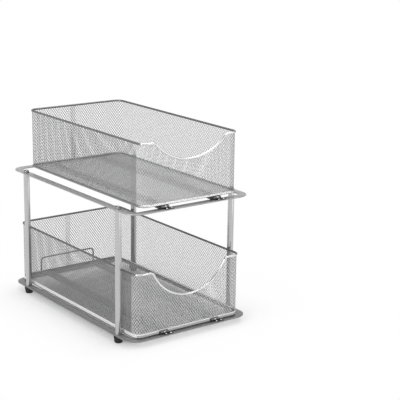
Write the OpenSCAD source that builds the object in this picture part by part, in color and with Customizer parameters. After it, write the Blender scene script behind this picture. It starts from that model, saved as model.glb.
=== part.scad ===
// Free-standing two-tier cabinet organiser. Two flat-strip rings on round posts carry
// channel runners, and a mesh basket slides out to the front on each tier.
// +X is to the right, -Y is the front where the baskets pull out, +Z is up.
// The origin is on the floor, under the middle of the rings.

/* [Rings] */
// Width of each ring over its outer edges
ring_w = 270; // [260:2:300]
// Depth of each ring over its outer edges
ring_d = 438; // [410:2:480]
// Radius of a ring's outer corners
ring_corner_r = 27; // [22:1:36]
// Width of the flat strip that a ring is made of
strip_w = 16; // [15:0.5:18]
// Thickness of the strip
strip_t = 2; // [1.5:0.5:3]

/* [Posts and feet] */
// Length of a post, from ring to ring
post_h = 234; // [200:2:280]
// Outer diameter of a post tube
post_dia = 12; // [11:0.5:13]
// Wall of a post tube
post_wall = 1.2; // [0.8:0.1:1.6]
// From a ring's side edge to a post's axis
post_inset = 7.5; // [7:0.5:8.5]
// From a ring's front or rear edge to a post's axis
post_setback = 53; // [45:0.5:80]
// Diameter of the threaded stud inside a post
stud_dia = 5; // [4:0.5:6]
// Height of a foot
foot_h = 13; // [11:1:20]
// Diameter of a foot at its top
foot_dia = 18; // [14:1:18]
// How much narrower a foot is at the floor
foot_taper = 3; // [0:0.5:4]
// Depth of the stud in a foot
foot_thread = 8; // [5:1:10]
// Diameter of a dome nut
nut_dia = 12; // [9:0.5:13]
// Height of the straight part of a dome nut
nut_collar = 2; // [1:0.5:3]
// Height of the dome above it
nut_dome = 4; // [3:0.5:4.5]
// Depth of the stud in a dome nut
nut_thread = 4; // [2:0.5:5]

/* [Runners] */
// Distance between the two runners of a tier
runner_pitch = 116; // [90:2:130]
// Width of a runner channel
runner_w = 16; // [14:0.5:18]
// Height of a runner channel
runner_h = 5; // [4.5:0.5:6]
// Sheet thickness of a runner channel
runner_t = 1.2; // [0.8:0.1:1.4]
// Width of the slot between a runner's lips
slot_w = 9; // [7:0.5:10]
// Gap between a runner and what slides on it
slide_gap = 0.4; // [0.3:0.1:0.6]
// How far a runner stays inside the ring's rear edge
runner_rear_inset = 5; // [4.5:0.5:5.5]
// Diameter of a rivet's shank
rivet_dia = 3; // [2.5:0.5:3.5]
// Diameter of a rivet's head
rivet_head_dia = 4.6; // [4:0.2:5.5]

/* [Glides] */
// Length of a front glide's plug in the runner
plug_l = 17; // [12:1:25]
// Thickness of a front glide's nose
nose_t = 2; // [1.5:0.5:4]
// Thickness of a front glide's cheek beside the runner
cheek_t = 1.5; // [1:0.5:3]
// Thickness of a front glide's flange
flange_t = 1.2; // [1:0.2:2]
// From a ring's front edge to a glide's flange
flange_inset = 1; // [0.5:0.5:2]
// Distance between the two rivets in a flange
flange_rivet_pitch = 10.7; // [9:0.5:13]
// From a ring's front edge to a glide's nose
nose_setback = 8; // [7.5:0.5:9]
// Length of a rear glide
rear_glide_l = 24; // [15:1:40]
// Thickness of the cap on a rail's front end
cap_t = 2; // [1.5:0.5:2.5]
// Height of the cap's lip below the rail
cap_lip = 1.8; // [1:0.2:2.2]

/* [Baskets] */
// From the deck to the middle of the top rim
basket_h = 114; // [90:0.5:130]
// From a ring to the deck on which a basket's floor lies
deck_lift = 6.5; // [6.5:0.5:10]
// From a ring's front edge to a basket's front wall
front_setback = 9.5; // [9:0.5:14]
// Outer radius of a basket's corners
basket_corner_r = 16; // [12:1:20]
// Thickness of the mesh sheet
mesh_t = 1.2; // [0.8:0.1:1.6]
// Openings along a side wall, and along the floor
grid_cols = 12; // [10:1:12]
// Openings across the front or rear wall, and across the floor
grid_ends = 6; // [6:1:8]
// Openings up a full wall
grid_rows = 8; // [7:1:10]
// Width of the bars between the openings
grid_bar = 4; // [3:0.5:5]
// Diameter of the top rim wire
rim_dia = 4; // [3:0.5:5]
// Width of the seam strip on the rear wall
seam_w = 10; // [6:1:16]
// Thickness of the seam strip
seam_t = 0.8; // [0.5:0.1:1]
// How far the seam lies left of the middle
seam_offset = 7; // [0:1:20]

/* [Lower basket] */
// Gap between a post and the basket's side wall
lower_post_gap = 4; // [3:0.5:8]
// From a ring's rear edge to the basket's rear wall
lower_rear_gap = 4; // [4:0.5:20]
// How far the basket pulls out
lower_travel = 300; // [200:5:320]
// Depth of the front scoop
lower_scoop_h = 54; // [30:1:70]
// Width of the shoulder beside the scoop
lower_shoulder = 30; // [26:1:40]
// Radius at the top of the scoop
lower_scoop_r = 9; // [6:1:14]
// Height of the base band
band_h = 8; // [7.5:0.5:9]
// Thickness of the base band
band_t = 1.8; // [1.4:0.1:2]
// How far the base band's lower edge clears the ring
band_gap = 0.5; // [0.4:0.1:1.5]

/* [Upper basket] */
// Gap between a post and the basket's side wall
upper_post_gap = 14.5; // [10:0.5:20]
// From a ring's rear edge to the basket's rear wall
upper_rear_gap = 31; // [15:1:50]
// How far the basket pulls out
upper_travel = 280; // [180:5:290]
// Depth of the front scoop
upper_scoop_h = 36; // [25:1:60]
// Width of the shoulder beside the scoop
upper_shoulder = 22; // [20:1:34]
// Radius at the top of the scoop
upper_scoop_r = 13; // [6:1:16]
// Diameter of the base wire
base_wire_dia = 4.5; // [4:0.5:5.5]

/* [Rear stop] */
// Width of the wire loop behind the lower basket, between its legs' axes
loop_w = 127; // [80:1:160]
// Height of the loop above the ring, to its bar's axis
loop_h = 35; // [20:1:50]
// Radius of the loop's corners, at its axis
loop_r = 8; // [5:1:14]
// Diameter of the loop's wire
loop_dia = 3; // [2.5:0.5:3.5]
// How far the loop lies left of the middle
loop_offset = 6; // [0:1:20]

/* [Hidden] */
$fn = 48;
eps = 0.01;
hole_gap = 0.2;
flange_margin = 1;
weld = 0.2;
arc_steps = 40;
fillet_steps = 8;

SIDES = [-1, 1];

// heights
lower_ring_z = foot_h;
lower_top_z = lower_ring_z + strip_t;
upper_ring_z = lower_top_z + post_h;
upper_top_z = upper_ring_z + strip_t;

// posts
post_x = ring_w / 2 - post_inset;
post_y = ring_d / 2 - post_setback;
nut_dome_r = (nut_dia * nut_dia / 4 + nut_dome * nut_dome) / (2 * nut_dome);

// runners
runner_x = runner_pitch / 2;
ring_front = -ring_d / 2;
nose_y = ring_front + nose_setback;
runner_y0 = nose_y + nose_t;
runner_y1 = ring_d / 2 - runner_rear_inset;
rail_z = runner_h + slide_gap;
stop_y = runner_y0 + plug_l;
glide_half = runner_w / 2 + cheek_t;
glide_rivet_y = ring_front + (flange_inset + nose_setback) / 2;
glide_rivet_x = [rivet_head_dia / 2, rivet_head_dia / 2 + flange_rivet_pitch];
flange_x0 = glide_rivet_x[0] - rivet_head_dia / 2 - flange_margin;
flange_x1 = glide_rivet_x[1] + rivet_head_dia / 2 + flange_margin;
rear_rivet_y = ring_d / 2 - strip_w / 2;

// baskets: outer width, outer depth and the y of the middle
function basket_w(post_gap) = 2 * (post_x - post_dia / 2 - post_gap);
function basket_d(rear_gap) = ring_d - front_setback - rear_gap;
function basket_y(rear_gap) = (front_setback - rear_gap) / 2;

// half the width of a round wire, at a height above its underside
function wire_half(r, h) = sqrt(r * r - (r - h) * (r - h));

lower_w = basket_w(lower_post_gap);
lower_d = basket_d(lower_rear_gap);
lower_y = basket_y(lower_rear_gap);
lower_wall_z = band_gap + band_h;

upper_w = basket_w(upper_post_gap);
upper_d = basket_d(upper_rear_gap);
upper_y = basket_y(upper_rear_gap);
upper_wall_z = deck_lift + base_wire_dia;

rim_z = deck_lift + basket_h;
basket_front = ring_front + front_setback;
cap_front = nose_y - slide_gap - cap_t;
cap_rivet_z = (deck_lift + rail_z - cap_lip) / 2;
rail_front = cap_front + cap_t + nose_t;

// ---------- shared shapes ----------

// rectangle with round corners, flat in XY
module round_rect(w, d, r) {
    square([w - 2 * r, d], center = true);
    square([w, d - 2 * r], center = true);
    for (sx = SIDES, sy = SIDES)
        translate([sx * (w / 2 - r), sy * (d / 2 - r)]) circle(r = r);
}

// upright band that runs round a rectangle: w, d and r are its outer sizes
module round_band(w, d, r, t, h) {
    linear_extrude(h) difference() {
        round_rect(w, d, r);
        round_rect(w - 2 * t, d - 2 * t, r - t);
    }
}

// quarter turn of wire about +Z, in the corner that sx and sy name
module wire_corner(w, d, r, wire, sx, sy) {
    translate([sx * (w / 2 - r), sy * (d / 2 - r), 0])
        rotate([0, 0, sx > 0 ? (sy > 0 ? 0 : 270) : (sy > 0 ? 90 : 180)])
            rotate_extrude(angle = 90) translate([r, 0]) circle(d = wire);
}

// straight wire along X or Y, centred on the origin
module wire_x(l, wire) rotate([0, 90, 0]) cylinder(h = l, d = wire, center = true);
module wire_y(l, wire) rotate([90, 0, 0]) cylinder(h = l, d = wire, center = true);

// arc of wire in the XZ plane, from angle a0 to a1
module wire_arc(r, a0, a1, wire) {
    rotate([90, 0, 0]) rotate([0, 0, a0])
        rotate_extrude(angle = a1 - a0, $fn = 72) translate([r, 0]) circle(d = wire, $fn = 48);
}

// dome-headed rivet: its head stands on z = 0, its shank goes down by grip and ends in a tail
module rivet(grip) {
    head_h = rivet_head_dia / 3;
    intersection() {
        cylinder(h = head_h, d = rivet_head_dia);
        translate([0, 0, head_h - rivet_head_dia * 0.55]) sphere(r = rivet_head_dia * 0.55);
    }
    translate([0, 0, -grip - eps]) cylinder(h = grip + 2 * eps, d = rivet_dia);
    translate([0, 0, -grip - head_h / 2]) cylinder(h = head_h / 2, d = rivet_head_dia);
}

// ---------- frame ----------

module ring(z) {
    color("silver") translate([0, 0, z]) difference() {
        round_band(ring_w, ring_d, ring_corner_r, strip_w, strip_t);
        for (sx = SIDES, sy = SIDES)
            translate([sx * post_x, sy * post_y, -1])
                cylinder(h = strip_t + 2, d = stud_dia + 2 * hole_gap);
        for (sx = SIDES) {
            for (dx = glide_rivet_x)
                translate([sx * runner_x + dx, glide_rivet_y, -1])
                    cylinder(h = strip_t + 2, d = rivet_dia);
            translate([sx * runner_x, rear_rivet_y, -1])
                cylinder(h = strip_t + 2, d = rivet_dia);
        }
    }
}

module post(sx, sy) {
    color("lightgray") translate([sx * post_x, sy * post_y, lower_top_z]) difference() {
        cylinder(h = post_h, d = post_dia);
        translate([0, 0, -1]) cylinder(h = post_h + 2, d = post_dia - 2 * post_wall);
    }
}

module foot(sx, sy) {
    color("black") translate([sx * post_x, sy * post_y, 0]) difference() {
        cylinder(h = foot_h, d1 = foot_dia - foot_taper, d2 = foot_dia);
        translate([0, 0, foot_h - foot_thread])
            cylinder(h = foot_thread + 1, d = stud_dia);
    }
}

module post_studs() {
    bottom = foot_h - foot_thread;
    color("gray") for (sx = SIDES, sy = SIDES)
        translate([sx * post_x, sy * post_y, bottom])
            cylinder(h = upper_top_z + nut_thread - bottom, d = stud_dia);
}

module dome_nuts() {
    color("gainsboro") for (sx = SIDES, sy = SIDES)
        translate([sx * post_x, sy * post_y, upper_top_z]) difference() {
            union() {
                cylinder(h = nut_collar, d = nut_dia);
                translate([0, 0, nut_collar]) intersection() {
                    cylinder(h = nut_dome, d = nut_dia);
                    translate([0, 0, nut_dome - nut_dome_r]) sphere(r = nut_dome_r);
                }
            }
            translate([0, 0, -1]) cylinder(h = nut_thread + 1, d = stud_dia);
        }
}

// C channel with inward lips, which lies on the ring's front and rear strips
module runner(sx, top_z) {
    l = runner_y1 - runner_y0;
    color("silver") translate([sx * runner_x, runner_y0, top_z]) difference() {
        translate([-runner_w / 2, 0, 0]) cube([runner_w, l, runner_h]);
        translate([runner_t - runner_w / 2, -1, runner_t])
            cube([runner_w - 2 * runner_t, l + 2, runner_h - 2 * runner_t]);
        translate([-slot_w / 2, -1, runner_t]) cube([slot_w, l + 2, runner_h]);
        translate([0, rear_rivet_y - runner_y0, -1])
            cylinder(h = runner_t + 2, d = rivet_dia);
    }
}

// black block that closes a runner's front end, guides the rail and stops the rear glide
module front_glide(sx, top_z) {
    inner_w = runner_w - 2 * runner_t;
    flange_y = ring_front + flange_inset;
    color("dimgray") translate([sx * runner_x, 0, top_z]) difference() {
        union() {
            translate([flange_x0, flange_y, 0])
                cube([flange_x1 - flange_x0, nose_y - flange_y + eps, flange_t]);
            translate([-glide_half, nose_y, 0]) cube([2 * glide_half, nose_t, runner_h]);
            for (side_x = [-glide_half, runner_w / 2])
                translate([side_x, runner_y0 - eps, 0]) cube([cheek_t, plug_l, runner_h]);
            translate([-inner_w / 2, runner_y0 - eps, runner_t])
                cube([inner_w, plug_l, runner_h - 2 * runner_t]);
            translate([-slot_w / 2, runner_y0 - eps, runner_t])
                cube([slot_w, plug_l, runner_h - runner_t]);
        }
        for (dx = glide_rivet_x)
            translate([dx, glide_rivet_y, -1]) cylinder(h = flange_t + 2, d = rivet_dia);
    }
}

module glide_rivets() {
    color("white") for (sx = SIDES, dx = glide_rivet_x, top_z = [lower_top_z, upper_top_z])
        translate([sx * runner_x + dx, glide_rivet_y, top_z + flange_t])
            rivet(flange_t + strip_t);
}

module runner_rivets() {
    color("gray") for (sx = SIDES, top_z = [lower_top_z, upper_top_z])
        translate([sx * runner_x, rear_rivet_y, top_z + runner_t])
            rivet(runner_t + strip_t);
}

// bent wire on the lower ring's rear strip, which stops the basket at the back
module rear_stop_loop() {
    color("silver") translate([-loop_offset, (ring_d - loop_dia) / 2, lower_top_z]) {
        for (sx = SIDES)
            translate([sx * loop_w / 2, 0, 0]) cylinder(h = loop_h - loop_r, d = loop_dia);
        translate([loop_w / 2 - loop_r, 0, loop_h - loop_r]) wire_arc(loop_r, 0, 90, loop_dia);
        translate([loop_r - loop_w / 2, 0, loop_h - loop_r]) wire_arc(loop_r, 90, 180, loop_dia);
        translate([0, 0, loop_h]) wire_x(loop_w - 2 * loop_r, loop_dia);
    }
}

// ---------- baskets ----------

// The scoop is one wide arc between two small ones. Its reach is half its width, and
// scoop_span is the distance between the wide arc's centre and a small one's.
function scoop_reach(w, shoulder) = w / 2 - shoulder;
function scoop_span(reach, h) = (reach * reach + h * h) / (2 * h);
function scoop_angle(reach, h) = asin(reach / scoop_span(reach, h));

// outline of the scoop, drop below the rim's axis, as [x, z] points from right to left
function scoop_points(reach, h, r, drop) =
    let (span = scoop_span(reach, h), a = scoop_angle(reach, h), wide = span - r + drop)
    concat(
        [for (i = [0 : fillet_steps - 1]) let (t = 90 + a * i / fillet_steps)
            [reach + (r - drop) * cos(t), (r - drop) * sin(t) - r]],
        [for (i = [0 : arc_steps]) let (t = -90 + a * (1 - 2 * i / arc_steps))
            [wide * cos(t), span - r - h + wide * sin(t)]],
        [for (i = [fillet_steps - 1 : -1 : 0]) let (t = 90 - a * i / fillet_steps)
            [-reach + (r - drop) * cos(t), (r - drop) * sin(t) - r]]
    );

// blocks that cut a plain grid of openings in the XY plane: it is l wide about x = 0 and
// h high from y = 0, with half a bar left along its edges
module grid_blocks(l, h, cols, rows, thick) {
    for (i = [0 : cols - 1], j = [0 : rows - 1])
        translate([(i + 0.5) * l / cols - l / 2, (j + 0.5) * h / rows, 0])
            cube([l / cols - grid_bar, h / rows - grid_bar, thick], center = true);
}

// mesh wall round four sides, with the scoop cut out of its front; the mesh is a plain
// grid of openings, which at the front ends below the scoop
module basket_walls(w, d, y, top_z, wall_z, shoulder, scoop_h, scoop_r) {
    reach = scoop_reach(w, shoulder);
    drop = rim_dia / 2;
    wall_h = rim_z - drop - wall_z;
    front_h = wall_h - scoop_h;
    front_rows = max(1, round(grid_rows * front_h / wall_h));
    flat_w = w - 2 * basket_corner_r;
    color("lightgray") translate([0, y, top_z]) difference() {
        translate([0, 0, wall_z]) round_band(w, d, basket_corner_r, mesh_t, wall_h);
        translate([0, basket_corner_r / 2 - d / 2, rim_z])
            rotate([90, 0, 0]) linear_extrude(basket_corner_r)
                polygon(concat([[-reach, drop], [reach, drop]],
                               scoop_points(reach, scoop_h, scoop_r, drop)));
        translate([0, 0, wall_z]) rotate([90, 0, 90])
            grid_blocks(d - 2 * basket_corner_r, wall_h, grid_cols, grid_rows, 2 * w);
        translate([0, d / 2, wall_z]) rotate([90, 0, 0])
            grid_blocks(flat_w, wall_h, grid_ends, grid_rows, 4 * mesh_t);
        translate([0, -d / 2, wall_z]) rotate([90, 0, 0])
            grid_blocks(flat_w, front_h, grid_ends, front_rows, 4 * mesh_t);
    }
}

// flat mesh under the walls, with the same openings inside a plain border
module basket_floor(w, d, y, top_z, edge) {
    flat_d = d - 2 * basket_corner_r;
    color("darkgray") translate([0, y, top_z + deck_lift]) difference() {
        linear_extrude(mesh_t)
            round_rect(w - 2 * edge, d - 2 * edge, basket_corner_r - edge);
        translate([0, -flat_d / 2, mesh_t / 2])
            grid_blocks(w - 2 * basket_corner_r, flat_d, grid_ends, grid_cols, 2 * mesh_t);
    }
}

// round wire on the wall's top edge, down into the scoop and up again; a small weld
// covers each joint between two arcs
module top_rim(w, d, y, top_z, shoulder, scoop_h, scoop_r) {
    mid_w = w - mesh_t;
    mid_d = d - mesh_t;
    mid_r = basket_corner_r - mesh_t / 2;
    reach = scoop_reach(w, shoulder);
    span = scoop_span(reach, scoop_h);
    a = scoop_angle(reach, scoop_h);
    flat_l = mid_w / 2 - mid_r - reach;
    color("gray") translate([0, y, top_z + rim_z]) {
        for (sx = SIDES, sy = SIDES) wire_corner(mid_w, mid_d, mid_r, rim_dia, sx, sy);
        for (sx = SIDES) {
            translate([sx * mid_w / 2, 0, 0]) wire_y(mid_d - 2 * mid_r, rim_dia);
            translate([sx * (reach + flat_l / 2), -mid_d / 2, 0]) wire_x(flat_l, rim_dia);
        }
        translate([0, mid_d / 2, 0]) wire_x(mid_w - 2 * mid_r, rim_dia);
        for (turn = [0, 180]) translate([0, -mid_d / 2, 0]) rotate([0, 0, turn]) {
            translate([reach, 0, -scoop_r]) wire_arc(scoop_r, 90, 90 + a, rim_dia);
            translate([0, 0, span - scoop_r - scoop_h])
                wire_arc(span - scoop_r, -90, -90 + a, rim_dia);
            translate([reach - scoop_r * sin(a), 0, scoop_r * (cos(a) - 1)])
                sphere(d = rim_dia + weld);
        }
    }
}

// strip that covers the joint of the mesh, on the inside of the rear wall
module wall_seam(d, y, top_z, wall_z) {
    color("gray")
        translate([-seam_offset - seam_w / 2, y + d / 2 - mesh_t - seam_t, top_z + wall_z])
            cube([seam_w, seam_t, rim_z - rim_dia / 2 - wall_z]);
}

// flat bar under the floor, which the glides carry and guide
module rail(sx, top_z, rear_y) {
    color("silver") translate([sx * runner_x - runner_w / 2, rail_front, top_z + rail_z])
        cube([runner_w, rear_y - rail_front, deck_lift - rail_z]);
}

// black caps on the rails' front ends: their lips meet the front glides' noses
module rail_caps(top_z) {
    color("dimgray") for (sx = SIDES)
        translate([sx * runner_x - runner_w / 2, cap_front, top_z]) difference() {
            union() {
                translate([0, 0, rail_z])
                    cube([runner_w, rail_front - cap_front, deck_lift - rail_z]);
                translate([0, 0, rail_z - cap_lip]) cube([runner_w, cap_t, cap_lip + eps]);
            }
            translate([runner_w / 2, -1, cap_rivet_z]) rotate([-90, 0, 0])
                cylinder(h = cap_t + 2, d = rivet_dia / 2);
        }
}

module cap_rivets(top_z) {
    head_h = rivet_head_dia / 3;
    color("white") for (sx = SIDES)
        translate([sx * runner_x, cap_front, top_z + cap_rivet_z]) rotate([90, 0, 0]) {
            intersection() {
                cylinder(h = head_h, d = deck_lift - rail_z + cap_lip);
                translate([0, 0, head_h - rivet_head_dia * 0.55])
                    sphere(r = rivet_head_dia * 0.55);
            }
            translate([0, 0, -cap_t]) cylinder(h = cap_t + eps, d = rivet_dia / 2);
        }
}

// T-shaped block under the rail: its head runs inside the runner
module rear_glide(sx, top_z, travel) {
    head_w = runner_w - 2 * runner_t - 2 * slide_gap;
    neck_w = slot_w - 2 * slide_gap;
    head_z = runner_t + slide_gap;
    head_h = runner_h - 2 * runner_t - 2 * slide_gap;
    color("dimgray") translate([sx * runner_x, stop_y + travel, top_z]) {
        translate([-head_w / 2, 0, head_z]) cube([head_w, rear_glide_l, head_h]);
        translate([-neck_w / 2, 0, head_z]) cube([neck_w, rear_glide_l, rail_z - head_z]);
    }
}

module lower_basket_walls() basket_walls(lower_w, lower_d, lower_y, lower_top_z,
    lower_wall_z, lower_shoulder, lower_scoop_h, lower_scoop_r);
module lower_basket_floor() basket_floor(lower_w, lower_d, lower_y, lower_top_z,
    (mesh_t + band_t) / 2);
module lower_top_rim() top_rim(lower_w, lower_d, lower_y, lower_top_z,
    lower_shoulder, lower_scoop_h, lower_scoop_r);
// flat band under the wall; it is cut out over the runners and where the rails pass
module lower_base_band() {
    grow = band_t - mesh_t;
    color("gainsboro") translate([0, 0, lower_top_z]) difference() {
        translate([0, lower_y, band_gap])
            round_band(lower_w + grow, lower_d + grow, basket_corner_r + grow / 2, band_t, band_h);
        for (sx = SIDES) {
            translate([sx * runner_x - glide_half - slide_gap, -ring_d, 0])
                cube([2 * (glide_half + slide_gap), 2 * ring_d, rail_z]);
            translate([sx * runner_x - runner_w / 2, -ring_d, 0])
                cube([runner_w, ring_d, deck_lift]);
        }
    }
}
module lower_rail(sx) rail(sx, lower_top_z, lower_y + (lower_d - mesh_t - band_t) / 2);

module upper_basket_walls() basket_walls(upper_w, upper_d, upper_y, upper_top_z,
    upper_wall_z, upper_shoulder, upper_scoop_h, upper_scoop_r);
module upper_basket_floor() basket_floor(upper_w, upper_d, upper_y, upper_top_z,
    mesh_t / 2 + wire_half(base_wire_dia / 2, mesh_t));
module upper_top_rim() top_rim(upper_w, upper_d, upper_y, upper_top_z,
    upper_shoulder, upper_scoop_h, upper_scoop_r);
module upper_base_wire() {
    mid_w = upper_w - mesh_t;
    mid_d = upper_d - mesh_t;
    mid_r = basket_corner_r - mesh_t / 2;
    color("gray") translate([0, upper_y, upper_top_z + deck_lift + base_wire_dia / 2]) {
        for (sx = SIDES, sy = SIDES) wire_corner(mid_w, mid_d, mid_r, base_wire_dia, sx, sy);
        for (s = SIDES) {
            translate([s * mid_w / 2, 0, 0]) wire_y(mid_d - 2 * mid_r, base_wire_dia);
            translate([0, s * mid_d / 2, 0]) wire_x(mid_w - 2 * mid_r, base_wire_dia);
        }
    }
}
module upper_rail(sx) rail(sx, upper_top_z, upper_y + (upper_d - mesh_t - base_wire_dia) / 2);

ring(lower_ring_z);  // lower_ring
ring(upper_ring_z);  // upper_ring
post(-1, -1);  // post_front_left
post(1, -1);  // post_front_right
post(-1, 1);  // post_rear_left
post(1, 1);  // post_rear_right
foot(-1, -1);  // foot_front_left
foot(1, -1);  // foot_front_right
foot(-1, 1);  // foot_rear_left
foot(1, 1);  // foot_rear_right
post_studs();
dome_nuts();
runner(-1, lower_top_z);  // lower_runner_left
runner(1, lower_top_z);  // lower_runner_right
runner(-1, upper_top_z);  // upper_runner_left
runner(1, upper_top_z);  // upper_runner_right
front_glide(-1, lower_top_z);  // lower_front_glide_left
front_glide(1, lower_top_z);  // lower_front_glide_right
front_glide(-1, upper_top_z);  // upper_front_glide_left
front_glide(1, upper_top_z);  // upper_front_glide_right
glide_rivets();
runner_rivets();
rear_stop_loop();
lower_basket_walls();
lower_basket_floor();
lower_top_rim();
lower_base_band();
wall_seam(lower_d, lower_y, lower_top_z, lower_wall_z);  // lower_wall_seam
lower_rail(-1);  // lower_rail_left
lower_rail(1);  // lower_rail_right
rail_caps(lower_top_z);  // lower_rail_caps
cap_rivets(lower_top_z);  // lower_cap_rivets
rear_glide(-1, lower_top_z, lower_travel);  // lower_rear_glide_left
rear_glide(1, lower_top_z, lower_travel);  // lower_rear_glide_right
upper_basket_walls();
upper_basket_floor();
upper_top_rim();
upper_base_wire();
wall_seam(upper_d, upper_y, upper_top_z, upper_wall_z);  // upper_wall_seam
upper_rail(-1);  // upper_rail_left
upper_rail(1);  // upper_rail_right
rail_caps(upper_top_z);  // upper_rail_caps
cap_rivets(upper_top_z);  // upper_cap_rivets
rear_glide(-1, upper_top_z, upper_travel);  // upper_rear_glide_left
rear_glide(1, upper_top_z, upper_travel);  // upper_rear_glide_right
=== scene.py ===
import math

import bmesh
import bpy
import numpy as np
from mathutils import Matrix, Vector


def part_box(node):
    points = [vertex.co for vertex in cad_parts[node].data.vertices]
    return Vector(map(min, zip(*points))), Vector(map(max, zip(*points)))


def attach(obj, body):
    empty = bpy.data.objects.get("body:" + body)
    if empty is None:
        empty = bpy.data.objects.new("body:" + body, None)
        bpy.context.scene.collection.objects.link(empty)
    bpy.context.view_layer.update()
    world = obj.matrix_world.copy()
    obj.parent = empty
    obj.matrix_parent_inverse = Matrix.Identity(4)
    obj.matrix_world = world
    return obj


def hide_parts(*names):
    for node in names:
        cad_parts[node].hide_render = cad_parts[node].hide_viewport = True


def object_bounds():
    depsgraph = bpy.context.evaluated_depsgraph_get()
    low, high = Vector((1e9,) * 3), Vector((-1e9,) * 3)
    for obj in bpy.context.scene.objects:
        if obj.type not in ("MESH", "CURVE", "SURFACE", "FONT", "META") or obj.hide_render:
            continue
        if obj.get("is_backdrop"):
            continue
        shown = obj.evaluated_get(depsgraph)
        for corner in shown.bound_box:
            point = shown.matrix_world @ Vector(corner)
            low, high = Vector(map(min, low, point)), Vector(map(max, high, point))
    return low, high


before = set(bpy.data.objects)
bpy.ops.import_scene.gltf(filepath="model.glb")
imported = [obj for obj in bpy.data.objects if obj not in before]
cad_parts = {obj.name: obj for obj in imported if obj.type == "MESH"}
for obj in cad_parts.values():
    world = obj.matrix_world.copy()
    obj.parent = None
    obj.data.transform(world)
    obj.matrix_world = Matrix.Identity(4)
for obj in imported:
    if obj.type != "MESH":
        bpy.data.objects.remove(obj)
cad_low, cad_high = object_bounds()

# ---------------------------------------------------------------- the two rings
# Each tier stands on a ring: one flat steel strip, 16 mm wide and 2 mm thick, bent and
# welded into a rounded rectangle, its edges rolled smooth, then painted silver.


def around(width, depth, corner, middle_y, s):
    """x, y and the outward normal at lengths s round a rounded rectangle, from the
    rear left corner along the left, front, right and rear."""
    flat_x, flat_y, bend = width / 2 - corner, depth / 2 - corner, math.pi * corner / 2
    s = np.asarray(s, float) % (4 * bend + 4 * flat_x + 4 * flat_y)
    x, y, angle = np.zeros_like(s), np.zeros_like(s), np.zeros_like(s)
    start = 0.0
    for turn, (cx, cy, run) in enumerate(
        ((-flat_x, flat_y, 2 * flat_y), (-flat_x, -flat_y, 2 * flat_x),
         (flat_x, -flat_y, 2 * flat_y), (flat_x, flat_y, 2 * flat_x))
    ):
        here = (s >= start) & (s < start + bend + run)
        t = s[here] - start
        a = math.pi / 2 * (turn + 1) + np.minimum(t / corner, math.pi / 2)
        along = np.maximum(t - bend, 0)
        x[here] = cx + corner * np.cos(a) - along * np.sin(a)
        y[here] = cy + corner * np.sin(a) + along * np.cos(a)
        angle[here] = a
        start += bend + run
    return x, y + middle_y, np.cos(angle), np.sin(angle)


def girth(width, depth, corner):
    """Length round a rounded rectangle."""
    return 2 * (width + depth) - 8 * corner + 2 * math.pi * corner


def loop_stops(width, depth, corner, bend_steps, run_step=0.02):
    """Lengths round a rounded rectangle at which a loop needs a cross-section."""
    bend, stops, start = math.pi * corner / 2, [], 0.0
    for turn in range(4):
        run = (depth if turn % 2 == 0 else width) - 2 * corner
        stops += list(start + np.linspace(0, bend, bend_steps, endpoint=False))
        steps = max(1, int(run / run_step))
        stops += list(start + bend + np.linspace(0, run, steps, endpoint=False))
        start += bend + run
    return np.array(stops)


def rounded_bar(wide, high, edge, steps=3):
    """Cross-section of a bar with rounded edges, as [across, up] points."""
    points = []
    for cx, cy, a0 in ((1, 1, 0), (-1, 1, 90), (-1, -1, 180), (1, -1, 270)):
        for i in range(steps + 1):
            a = math.radians(a0 + 90 * i / steps)
            points.append((cx * (wide / 2 - edge) + edge * math.cos(a),
                           cy * (high / 2 - edge) + edge * math.sin(a)))
    return np.array(points)


def round_wire(radius, sides=14):
    """Cross-section of a round wire, as [across, up] points."""
    a = np.arange(sides) * 2 * math.pi / sides
    return np.stack([radius * np.cos(a), radius * np.sin(a)], 1)


def swept(points, normals, section, closed=True):
    """Vertices and faces of a cross-section carried along points; across follows the
    normals and up is square to them and to the path."""
    points, normals = np.asarray(points, float), np.asarray(normals, float)
    if closed:
        tangents = np.roll(points, -1, 0) - np.roll(points, 1, 0)
    else:
        tangents = np.gradient(points, axis=0)
    tangents /= np.linalg.norm(tangents, axis=1)[:, None]
    ups = np.cross(normals, tangents)
    ups /= np.linalg.norm(ups, axis=1)[:, None]
    n, m = len(points), len(section)
    rings = (points[:, None] + section[None, :, :1] * normals[:, None]
             + section[None, :, 1:] * ups[:, None])
    rows = np.arange(n if closed else n - 1)
    cols = np.arange(m)
    i, j = np.meshgrid(rows, cols, indexing="ij")
    i2, j2 = (i + 1) % n, (j + 1) % m
    faces = np.stack([i * m + j, i * m + j2, i2 * m + j2, i2 * m + j], -1).reshape(-1, 4)
    faces = [tuple(f) for f in faces.tolist()]
    if not closed:
        faces.append(tuple(range(m - 1, -1, -1)))
        faces.append(tuple((n - 1) * m + k for k in range(m)))
    return rings.reshape(-1, 3), faces


def make_piece(name, vertices, faces, material, body, slot, replaces, sharp=40):
    """A smooth mesh piece with its edges kept sharp past an angle. It rides on a body, takes
    a finish and stands for CAD nodes."""
    mesh = bpy.data.meshes.new(name)
    mesh.from_pydata([tuple(v) for v in np.asarray(vertices).tolist()], [], faces)
    bm = bmesh.new()
    bm.from_mesh(mesh)
    bmesh.ops.recalc_face_normals(bm, faces=bm.faces)
    for face in bm.faces:
        face.smooth = True
    for edge in bm.edges:
        if len(edge.link_faces) == 2 and edge.calc_face_angle() > math.radians(sharp):
            edge.smooth = False
    bm.to_mesh(mesh)
    bm.free()
    piece = bpy.data.objects.new(name, mesh)
    bpy.context.scene.collection.objects.link(piece)
    mesh.materials.append(material)
    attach(piece, body)
    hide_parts(*replaces)
    return piece


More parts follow.
